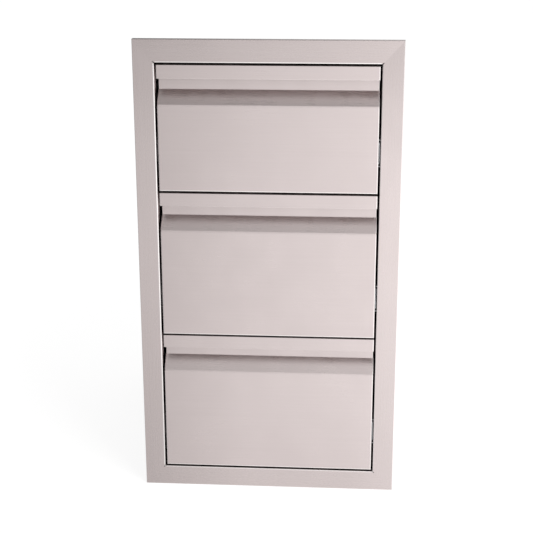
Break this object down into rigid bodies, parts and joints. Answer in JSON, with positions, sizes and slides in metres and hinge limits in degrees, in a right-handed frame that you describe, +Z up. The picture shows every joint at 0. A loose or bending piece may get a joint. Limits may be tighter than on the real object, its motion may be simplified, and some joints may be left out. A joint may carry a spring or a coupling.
{
  "type": "outdoor kitchen drawer unit",
  "caption": "Built-in stainless cabinet with a mitred face frame and stacked pull-out drawers, each with a full-width finger pull and full-extension ball-bearing slides.",
  "frame": {"origin": "middle of the cabinet's flat underside", "axes": "+X to the right as seen from the front, +Y from the drawer fronts towards the back, +Z up"},
  "size_m": [0.438, 0.5462, 0.79],
  "materials": {
    "front_steel": "brushed along X",
    "frame_steel_horizontal": "brushed along X",
    "frame_steel_vertical": "brushed along Z",
    "liner_steel": "mill finish sheet",
    "cabinet_steel": "mill finish sheet",
    "box_steel": "fine brushed sheet",
    "slide_steel": "zinc-plated rolled steel",
    "cage_steel": "stamped steel with polished balls",
    "screw_steel": "machined stainless",
    "bumper_rubber": "moulded black rubber"
  },
  "bodies": {
    "cabinet": {"frame_left_stile": "frame_steel_vertical", "frame_right_stile": "frame_steel_vertical", "frame_top_rail": "frame_steel_horizontal", "frame_bottom_rail": "frame_steel_horizontal", "cabinet_left_side": "cabinet_steel", "cabinet_right_side": "cabinet_steel", "cabinet_back": "cabinet_steel", "cabinet_top": "cabinet_steel", "cabinet_bottom": "cabinet_steel", "rear_bumpers": "bumper_rubber", "slide_screws_left": "screw_steel", "slide_screws_right": "screw_steel", "lower_left_slide_outer": "slide_steel", "lower_right_slide_outer": "slide_steel", "middle_left_slide_outer": "slide_steel", "middle_right_slide_outer": "slide_steel", "upper_left_slide_outer": "slide_steel", "upper_right_slide_outer": "slide_steel"},
    "lower_drawer": {"lower_front_skin": "front_steel", "lower_front_liner": "liner_steel", "lower_box_wrap": "box_steel", "lower_box_front_end": "box_steel", "lower_box_back_end": "box_steel", "lower_box_screws": "screw_steel", "lower_left_slide_inner": "slide_steel", "lower_right_slide_inner": "slide_steel"},
    "lower_slide_middles": {"lower_left_slide_middle": "slide_steel", "lower_right_slide_middle": "slide_steel"},
    "lower_outer_cages": {"lower_left_slide_outer_cage": "cage_steel", "lower_right_slide_outer_cage": "cage_steel"},
    "lower_inner_cages": {"lower_left_slide_inner_cage": "cage_steel", "lower_right_slide_inner_cage": "cage_steel"},
    "middle_drawer": {"middle_front_skin": "front_steel", "middle_front_liner": "liner_steel", "middle_box_wrap": "box_steel", "middle_box_front_end": "box_steel", "middle_box_back_end": "box_steel", "middle_box_screws": "screw_steel", "middle_left_slide_inner": "slide_steel", "middle_right_slide_inner": "slide_steel"},
    "middle_slide_middles": {"middle_left_slide_middle": "slide_steel", "middle_right_slide_middle": "slide_steel"},
    "middle_outer_cages": {"middle_left_slide_outer_cage": "cage_steel", "middle_right_slide_outer_cage": "cage_steel"},
    "middle_inner_cages": {"middle_left_slide_inner_cage": "cage_steel", "middle_right_slide_inner_cage": "cage_steel"},
    "upper_drawer": {"upper_front_skin": "front_steel", "upper_front_liner": "liner_steel", "upper_box_wrap": "box_steel", "upper_box_front_end": "box_steel", "upper_box_back_end": "box_steel", "upper_box_screws": "screw_steel", "upper_left_slide_inner": "slide_steel", "upper_right_slide_inner": "slide_steel"},
    "upper_slide_middles": {"upper_left_slide_middle": "slide_steel", "upper_right_slide_middle": "slide_steel"},
    "upper_outer_cages": {"upper_left_slide_outer_cage": "cage_steel", "upper_right_slide_outer_cage": "cage_steel"},
    "upper_inner_cages": {"upper_left_slide_inner_cage": "cage_steel", "upper_right_slide_inner_cage": "cage_steel"}
  },
  "joints": [
    {"name": "lower_drawer_slide", "type": "slide", "parent": "cabinet", "child": "lower_drawer", "axis": [0, -1, 0], "range_m": [0, 0.48]},
    {"name": "lower_slide_middles_travel", "type": "slide", "parent": "cabinet", "child": "lower_slide_middles", "axis": [0, -1, 0], "range_m": [0, 0.24]},
    {"name": "lower_outer_cages_travel", "type": "slide", "parent": "cabinet", "child": "lower_outer_cages", "axis": [0, -1, 0], "range_m": [0, 0.12]},
    {"name": "lower_inner_cages_travel", "type": "slide", "parent": "cabinet", "child": "lower_inner_cages", "axis": [0, -1, 0], "range_m": [0, 0.36]},
    {"name": "middle_drawer_slide", "type": "slide", "parent": "cabinet", "child": "middle_drawer", "axis": [0, -1, 0], "range_m": [0, 0.48]},
    {"name": "middle_slide_middles_travel", "type": "slide", "parent": "cabinet", "child": "middle_slide_middles", "axis": [0, -1, 0], "range_m": [0, 0.24]},
    {"name": "middle_outer_cages_travel", "type": "slide", "parent": "cabinet", "child": "middle_outer_cages", "axis": [0, -1, 0], "range_m": [0, 0.12]},
    {"name": "middle_inner_cages_travel", "type": "slide", "parent": "cabinet", "child": "middle_inner_cages", "axis": [0, -1, 0], "range_m": [0, 0.36]},
    {"name": "upper_drawer_slide", "type": "slide", "parent": "cabinet", "child": "upper_drawer", "axis": [0, -1, 0], "range_m": [0, 0.48]},
    {"name": "upper_slide_middles_travel", "type": "slide", "parent": "cabinet", "child": "upper_slide_middles", "axis": [0, -1, 0], "range_m": [0, 0.24]},
    {"name": "upper_outer_cages_travel", "type": "slide", "parent": "cabinet", "child": "upper_outer_cages", "axis": [0, -1, 0], "range_m": [0, 0.12]},
    {"name": "upper_inner_cages_travel", "type": "slide", "parent": "cabinet", "child": "upper_inner_cages", "axis": [0, -1, 0], "range_m": [0, 0.36]}
  ],
  "couplings": [
    {"joint": "lower_slide_middles_travel", "follows": "lower_drawer_slide", "ratio": 0.5},
    {"joint": "lower_outer_cages_travel", "follows": "lower_drawer_slide", "ratio": 0.25},
    {"joint": "lower_inner_cages_travel", "follows": "lower_drawer_slide", "ratio": 0.75},
    {"joint": "middle_slide_middles_travel", "follows": "middle_drawer_slide", "ratio": 0.5},
    {"joint": "middle_outer_cages_travel", "follows": "middle_drawer_slide", "ratio": 0.25},
    {"joint": "middle_inner_cages_travel", "follows": "middle_drawer_slide", "ratio": 0.75},
    {"joint": "upper_slide_middles_travel", "follows": "upper_drawer_slide", "ratio": 0.5},
    {"joint": "upper_outer_cages_travel", "follows": "upper_drawer_slide", "ratio": 0.25},
    {"joint": "upper_inner_cages_travel", "follows": "upper_drawer_slide", "ratio": 0.75}
  ]
}
